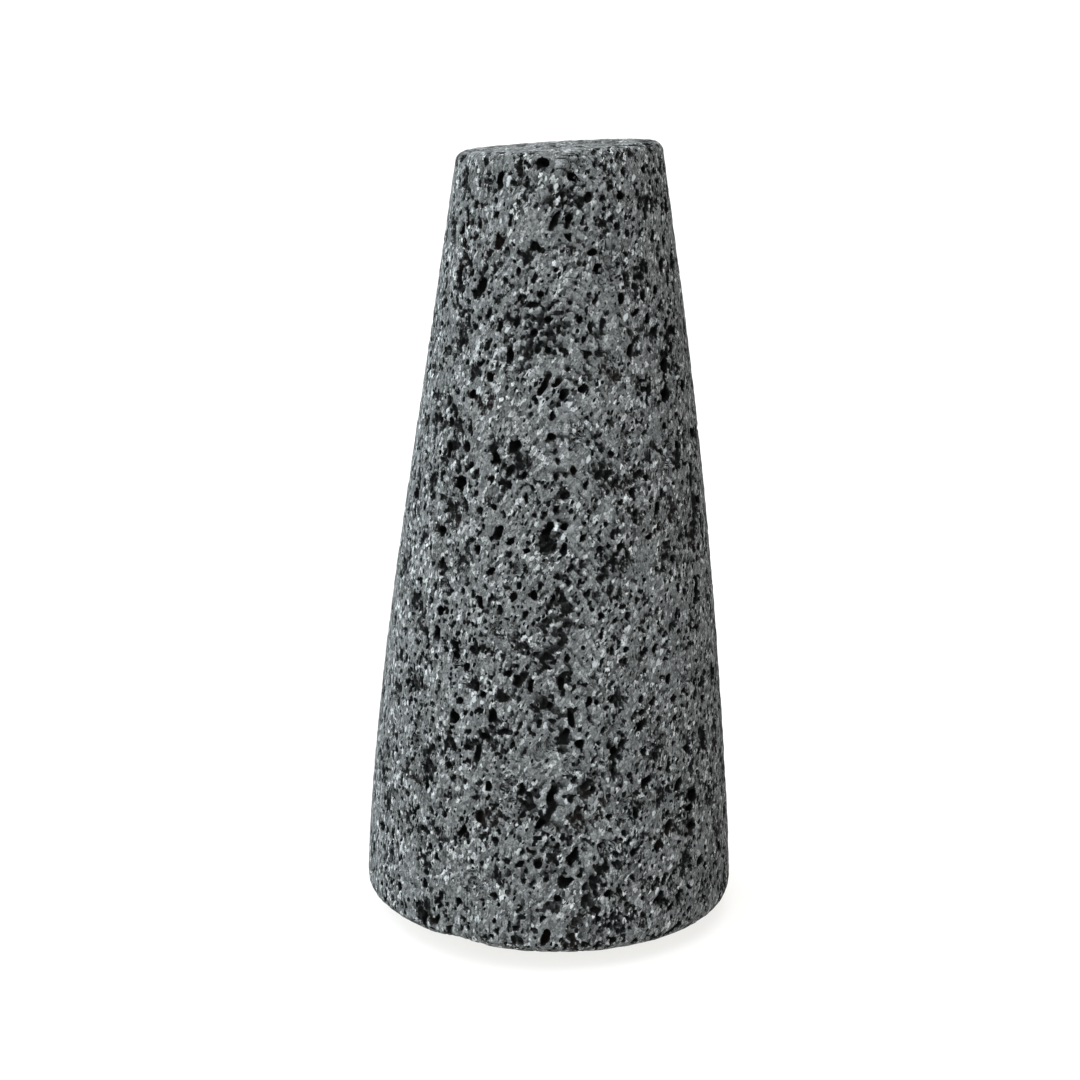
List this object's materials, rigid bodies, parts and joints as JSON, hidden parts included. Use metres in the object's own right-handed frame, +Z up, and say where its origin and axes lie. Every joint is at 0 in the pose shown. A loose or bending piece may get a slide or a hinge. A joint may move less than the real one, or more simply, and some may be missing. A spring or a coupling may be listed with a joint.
{
  "type": "stone pestle",
  "caption": "Tapered hand-held pestle (tejolote) of vesicular basalt, with a broad, gently domed grinding end on which it stands and a slanted flat top.",
  "frame": {"origin": "on the resting flat of the grinding end, below the middle of the widest section", "axes": "+Z up along the stone's length, from the grinding end to the grip; +X to the right, the side towards which the grip leans and the top face rises; -Y is the front"},
  "size_m": [0.0617, 0.0614, 0.1278],
  "materials": {
    "basalt": "matte"
  },
  "bodies": {
    "root": {"tejolote": "basalt"}
  },
  "joints": []
}
